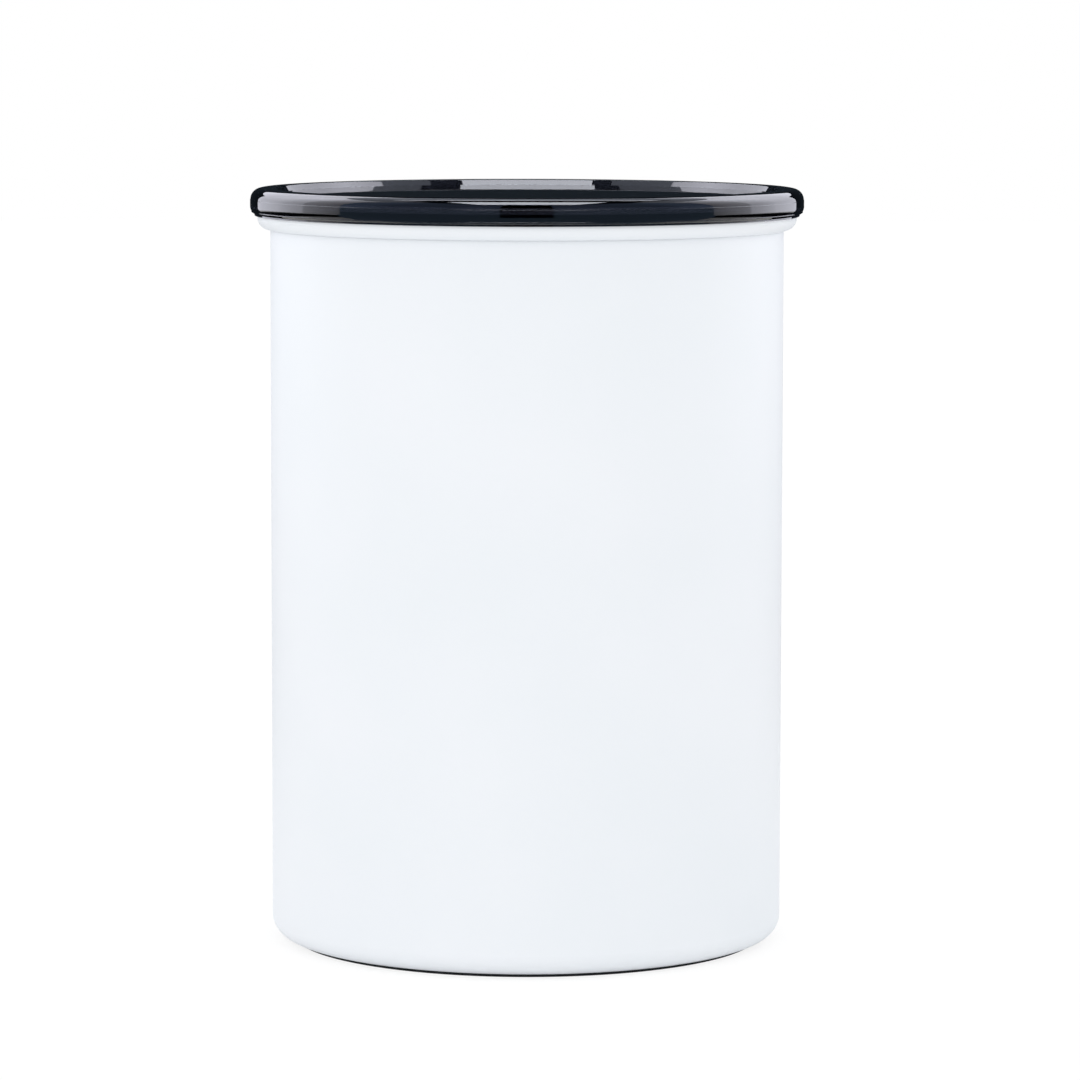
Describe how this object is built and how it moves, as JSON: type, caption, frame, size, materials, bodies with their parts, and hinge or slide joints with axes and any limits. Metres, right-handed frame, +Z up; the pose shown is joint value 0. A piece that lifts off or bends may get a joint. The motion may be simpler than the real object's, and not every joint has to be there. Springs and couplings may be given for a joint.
{
  "type": "coffee canister with valve",
  "caption": "Round steel coffee canister with a smoked snap-over lid and, inside, a sliding plunger lid with a wiper gasket, an air valve and a folding bail handle.",
  "frame": {"origin": "centre of the foot ring's underside, on the surface that the canister stands on", "axes": "+Z up along the canister's centre line, -Y towards the side that the folded handle points to"},
  "size_m": [0.1294, 0.1294, 0.1767],
  "materials": {
    "powder_coated_steel": "satin white powder coat outside, bare brushed steel inside",
    "foot_rubber": "matt",
    "smoked_plastic": "smoked, polished",
    "inner_lid_plastic": "fine moulded satin",
    "handle_plastic": "fine moulded satin",
    "stem_plastic": "smooth acetal",
    "gasket_silicone": "matt silicone",
    "seal_silicone": "matt silicone",
    "stainless_sheet": "brushed stainless",
    "bright_steel": "zinc plated",
    "spring_wire": "drawn stainless wire"
  },
  "bodies": {
    "canister": {"canister_body": "powder_coated_steel", "foot_ring": "foot_rubber"},
    "lid": {"outer_lid": "smoked_plastic"},
    "plunger": {"plunger_plate": "inner_lid_plastic", "wiper_gasket": "gasket_silicone", "vent_guard": "stainless_sheet", "valve_housing": "inner_lid_plastic", "housing_screws": "bright_steel", "handle_pins": "bright_steel", "valve_spring": "spring_wire"},
    "handle": {"bail_handle": "handle_plastic"},
    "valve": {"valve_stem": "stem_plastic", "valve_seal": "seal_silicone", "lift_bar": "stainless_sheet", "stem_nut": "bright_steel"}
  },
  "joints": [
    {"name": "outer_lid_lift", "type": "slide", "parent": "canister", "child": "lid", "axis": [0, 0, 1], "range_m": [0, 0.08]},
    {"name": "plunger_slide", "type": "slide", "parent": "canister", "child": "plunger", "axis": [0, 0, 1], "range_m": [-0.096, 0.01]},
    {"name": "handle_fold", "type": "hinge", "parent": "plunger", "child": "handle", "pos_m": [0, 0, 0.1146], "axis": [-1, 0, 0], "range_deg": [0, 90]},
    {"name": "valve_lift", "type": "slide", "parent": "plunger", "child": "valve", "axis": [0, 0, 1], "range_m": [0, 0.0025], "deforming": ["valve_spring"]}
  ],
  "couplings": [
    {"joint": "valve_lift", "follows": "handle_fold", "m_per_rad": 0.0015653}
  ]
}
